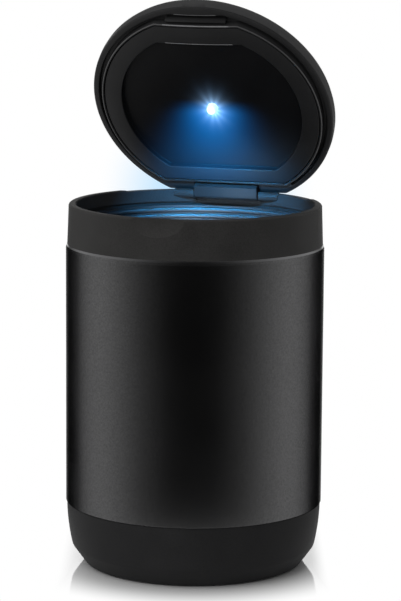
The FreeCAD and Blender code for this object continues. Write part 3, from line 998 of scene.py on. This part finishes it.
    def add_bar(self, draft: MeshDraft, ring_front: float) -> None:
        """Adds the closing rib in front of the ring.

        Args:
            draft: The shell's draft.
            ring_front: Where the ring's front flat lies.
        """
        near = -(ring_front + self.bar_offset)
        foot = self.base - self.bar_proud
        floor = self.base + self.groove_depth
        far = near - self.bar_width
        draft.extrude([(near, floor), (near, foot), (far, foot), (far, floor)], self.bar_half, self.edge)

    def add_knuckle(self, draft: MeshDraft) -> None:
        """Adds the lid's own hinge barrel and the square block that carries it.

        Args:
            draft: The shell's draft.
        """
        along, up = self.hinge.y, self.hinge.z
        back = along - self.neck_back
        meet = math.asin(self.neck_back / self.barrel)
        start = math.pi * 1.5 - math.asin(self.neck_toe / self.barrel)
        end = math.tau + math.pi / 2 + meet
        turns = [between(start, end, step / self.barrel_steps) for step in range(self.barrel_steps + 1)]
        barrel = [(along + self.barrel * math.cos(turn), up + self.barrel * math.sin(turn)) for turn in turns]
        section = [
            (along - self.neck_front, self.base + self.neck_root),
            (along - self.neck_front, up - self.neck_drop),
            *barrel,
            (back, self.base),
            (self.rear, self.base + self.neck_root),
        ]
        draft.extrude(section, self.knuckle_half, self.edge)

    def build_plate(self) -> None:
        """Makes the inner plate: a flange round a sunk pan with the lamp's hole in its middle."""
        floor = self.recess_floor
        back = self.plate_face + self.plate_wall
        pan_top = floor + self.plate_wall
        recess = replace(self.plate, radius=self.plate.radius - self.flange_side,
                         front=self.plate.front - self.flange_front, rear=self.plate.rear - self.flange_rear)
        pan = recess.inset(-self.plate_wall, pan_top)
        section = rounded([
            Disc(self.lamp_hole, pan_top),
            Disc(self.lamp_hole, floor, finish=PlateSlot.PAN),
            replace(recess, height=floor, soft=self.edge, finish=PlateSlot.PAN),
            replace(recess, soft=self.edge, painted_highlights=(PlateSlot.BRIGHT_PAINTED_HIGHLIGHT, PlateSlot.FLANGE)),
            replace(self.plate, soft=self.edge),
            replace(self.plate, height=back),
            replace(pan, height=back),
            pan,
        ])
        draft = MeshDraft("lid_lining", Body.LID)
        draft.loft(section, self.plan, closed=True)
        made = draft.piece([self.lit(FLANGE_BLACK), self.lit(PAN_BLACK), BRIGHT_PAINTED_HIGHLIGHT_EDGE], self.swing)
        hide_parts("lid_plate")


# Studio

@dataclass
class Studio:
    """The pale floor, soft light and camera that the ashtray is seen with."""

    lid: Lid
    azimuth: float = math.radians(17.2)
    elevation: float = math.radians(9.51)
    distance: float = 791.06 * MM
    aim_side: float = 1.6455 * MM
    aim_height: float = 76.366 * MM
    roll: float = math.radians(0.40)
    focal_pixels: float = 2751.58
    image_height: float = 601.0
    sensor: float = 36.0
    floor_radius: float = 0.08
    floor_sides: int = 96
    floor_roughness: float = 0.06
    floor_metallic: float = 0.42
    floor_fade: tuple[float, float] = (0.033, 0.054)
    floor_side_fade: tuple[float, float] = (0.034, 0.039)
    even_light: float = 0.45
    # Places run from straight behind the object, 0, to the camera's side, 1
    surround: tuple[tuple[float, float], ...] = (
        (0.0, 1.0), (0.025, 1.0), (0.05, 0.1), (0.085, 0.15), (0.16, 0.55), (0.27, 1.0), (0.4, 1.0),
        (0.526, 0.88), (0.671, 0.58), (0.828, 0.22), (0.953, 0.025), (1.0, 0.008),
    )
    table_light: float = 0.9
    table_rise: tuple[float, float] = (-0.45, -0.7)
    fill_angle: float = math.radians(-38.0)
    fill_rise: float = math.radians(38.0)
    fill_distance: float = 0.7
    fill_size: float = 0.8
    fill_watts: float = 4.4
    top_offset: tuple[float, float, float] = (0.0, 0.1, 0.8)
    top_size: float = 0.8
    top_watts: float = 0.2
    side_angle: float = math.radians(140.0)
    side_distance: float = 0.6
    side_size: float = 0.5
    side_watts: float = 0.1
    lamp_colour: Colour = (0.05, 0.44, 1.0)
    lamp_watts: float = 0.28
    lamp_ahead: float = 16.0 * MM
    lamp_soft: float = 1.5 * MM
    lamp_aim: tuple[float, float] = (-4.0 * MM, -6.0 * MM)
    spot_angle: float = math.radians(110.0)
    bounce_colour: Colour = (0.55, 0.75, 1.0)
    bounce_watts: float = 0.07
    bounce_soft: float = 6.0 * MM
    bounce_depth: float = 22.0 * MM
    bounce_aim: tuple[float, float] = (0.0, -12.0 * MM)
    # A pale blue glow of the lid's lamp, painted on the backdrop beyond the hinge
    painted_glow_colour: Colour = (0.3, 0.68, 1.0)
    painted_glow_side: float = -6.0 * MM
    painted_glow_core: float = 8.0 * MM
    painted_glow_radius: float = 33.0 * MM
    painted_glow_share: float = 0.7

    def build(self) -> None:
        """Makes the floor, the world, the lamps and the camera."""
        self.build_floor()
        self.build_world()
        self.build_soft_boxes()
        self.build_well_lamps()
        self.build_camera()

    def towards(self, angle: float, rise: float = 0.0) -> Vector:
        """The camera's direction, turned to the right by an angle and raised above the floor by another."""
        turned = self.azimuth + angle
        return Vector((math.sin(turned) * math.cos(rise), -math.cos(turned) * math.cos(rise), math.sin(rise)))

    def build_floor(self) -> None:
        """Makes the polished white table top, which shows the object's reflection and shadow."""
        data = bpy.data.meshes.new("floor")
        turns = [math.tau * step / self.floor_sides for step in range(self.floor_sides)]
        rim = [Vector((math.cos(turn), math.sin(turn), 0.0)) * self.floor_radius for turn in turns]
        data.from_pydata(rim, [], [tuple(range(self.floor_sides))])
        floor = bpy.data.objects.new("floor", data)
        add_to_scene(floor)
        material = bpy.data.materials.new("floor_white")
        material.use_nodes = True
        graph = ShaderGraph(material.node_tree)
        path = graph.node("LightPath")
        seen = graph.math("MAXIMUM", path.outputs["Is Camera Ray"], path.outputs["Is Glossy Ray"])
        seen = graph.math("MAXIMUM", seen, path.outputs["Is Transmission Ray"])
        glow = graph.node("Emission", {"Color": grey(1.0), "Strength": seen})
        polished = graph.node("BsdfPrincipled", {
            "Base Color": grey(1.0),
            "Roughness": self.floor_roughness,
            "Metallic": self.floor_metallic,
        })
        away = graph.measure("LENGTH", graph.place())
        right = self.towards(math.pi / 2.0)
        aside = graph.math("ABSOLUTE", graph.measure("DOT_PRODUCT", graph.place(), right))
        faded = graph.math("MAXIMUM", graph.range(away, *self.floor_fade),
                           graph.range(aside, *self.floor_side_fade))
        blend = graph.node("MixShader", {
            "Fac": faded,
            1: polished.outputs["BSDF"],
            2: glow.outputs["Emission"],
        })
        graph.finish(blend.outputs["Shader"])
        data.materials.append(material)

    def build_world(self) -> None:
        """Makes the white backdrop, the studio that shiny surfaces show and the even light on all else."""
        world = bpy.data.worlds.new("studio")
        world.use_nodes = True
        bpy.context.scene.world = world
        graph = ShaderGraph(world.node_tree)
        sky = graph.place("Generated")
        facing = graph.measure("DOT_PRODUCT", sky, self.towards(0.0))
        share = graph.math("MULTIPLY", graph.math("ADD", facing, 1.0), 0.5)
        walls = graph.ramp(share, [(place, (level, level, level)) for place, level in self.surround])
        axes = graph.node("SeparateXYZ", {"Vector": sky})
        top, bottom = self.table_rise
        below = graph.math("SUBTRACT", 1.0, graph.range(axes.outputs["Z"], bottom, top))
        studio = graph.mix(below, walls, grey(self.table_light))
        path = graph.node("LightPath")
        shiny = graph.math("MAXIMUM", path.outputs["Is Glossy Ray"], path.outputs["Is Transmission Ray"])
        lit = graph.mix(shiny, grey(self.even_light), studio)
        colour = graph.mix(path.outputs["Is Camera Ray"], lit, self.backdrop(graph))
        back = graph.node("Background", {"Color": colour})
        graph.finish(back.outputs["Background"], "OutputWorld")

    def backdrop(self, graph: ShaderGraph) -> Socket:
        """The white backdrop, with a painted pale blue glow of the lid's lamp beyond the hinge.

        Args:
            graph: The world's graph.

        Returns:
            The backdrop's colour.
        """
        sight = self.lid.hinge + Vector((self.painted_glow_side, 0.0, 0.0)) - self.viewpoint()
        away = graph.measure("DISTANCE", graph.place("Generated"), sight.normalized())
        share = graph.range(away, self.painted_glow_core / sight.length, self.painted_glow_radius / sight.length,
                            self.painted_glow_share, 0.0)
        return graph.mix(share, grey(1.0), (*self.painted_glow_colour, 1.0))

    def add_lamp(self, name: str, kind: str, place: Vector, aim: Vector, watts: float) -> bpy.types.Object:
        """Adds one lamp.

        Args:
            name: Its name.
            kind: Blender's name for its type.
            place: Where it stands.
            aim: What it points at.
            watts: Its power.

        Returns:
            The lamp.
        """
        data = bpy.data.lights.new(name, kind)
        data.energy = watts
        lamp = bpy.data.objects.new(name, data)
        add_to_scene(lamp)
        lamp.location = place
        lamp.rotation_mode = "QUATERNION"
        lamp.rotation_quaternion = (aim - place).to_track_quat("-Z", "Y")
        return lamp

    def build_soft_boxes(self) -> None:
        """Makes the large soft box in front, the wide one overhead and the weak one behind, to the right."""
        aim = Vector((0.0, 0.0, self.aim_height))
        front = self.towards(self.fill_angle, self.fill_rise) * self.fill_distance
        side = self.towards(self.side_angle) * self.side_distance
        boxes = (
            ("soft_box_front", front, self.fill_watts, self.fill_size, False),
            ("soft_box_top", Vector(self.top_offset), self.top_watts, self.top_size, True),
            ("soft_box_side", side, self.side_watts, self.side_size, True),
        )
        for name, offset, watts, size, mirrored in boxes:
            lamp = self.add_lamp(name, "AREA", aim + offset, aim, watts)
            lamp.data.size = size
            lamp.visible_glossy = mirrored

    def build_well_lamps(self) -> None:
        """Makes the blue light that the lid's lamp throws into the well, and what the well throws back up."""
        hinge = self.lid.hinge
        thrown = self.lid.swing @ Vector((0.0, 0.0, self.lid.plate_face - self.lamp_ahead))
        returned = Vector((0.0, 0.0, hinge.z - self.bounce_depth))
        spots = (
            ("well_light", thrown, self.lamp_watts, self.lamp_aim, self.lamp_colour, self.lamp_soft),
            ("well_bounce", returned, self.bounce_watts, self.bounce_aim, self.bounce_colour,
             self.bounce_soft),
        )
        for name, place, watts, (along, up), colour, soft in spots:
            aim = Vector((0.0, hinge.y + along, hinge.z + up))
            lamp = self.add_lamp(name, "SPOT", place, aim, watts)
            lamp.data.color = colour
            lamp.data.spot_size = self.spot_angle
            lamp.data.spot_blend = 1.0
            lamp.data.shadow_soft_size = soft
            if place is thrown:
                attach(lamp, Body.LID.value)

    def viewpoint(self) -> Vector:
        """Where the photograph was taken from."""
        target = self.towards(math.pi / 2.0) * self.aim_side + Vector((0.0, 0.0, self.aim_height))
        return target + self.towards(0.0, self.elevation) * self.distance

    def build_camera(self) -> None:
        """Sets the camera at the photograph's viewing angle."""
        data = bpy.data.cameras.new("camera")
        data.lens = self.focal_pixels / self.image_height * self.sensor
        data.sensor_width = self.sensor
        camera = bpy.data.objects.new("camera", data)
        add_to_scene(camera)
        camera.location = self.viewpoint()
        camera.rotation_mode = "QUATERNION"
        look = (-self.towards(0.0, self.elevation)).to_track_quat("-Z", "Y")
        camera.rotation_quaternion = look @ Matrix.Rotation(self.roll, 3, "Z").to_quaternion()
        bpy.context.scene.camera = camera


def main() -> None:
    """Builds the ashtray and its studio."""
    logging.basicConfig(level=logging.INFO, format="%(name)s %(message)s")
    bpy.context.scene.view_settings.view_transform = "Standard"
    can = Can()
    can.build()
    lid = Lid()
    lid.build()
    studio = Studio(lid)
    studio.build()


if __name__ == "__main__":
    main()
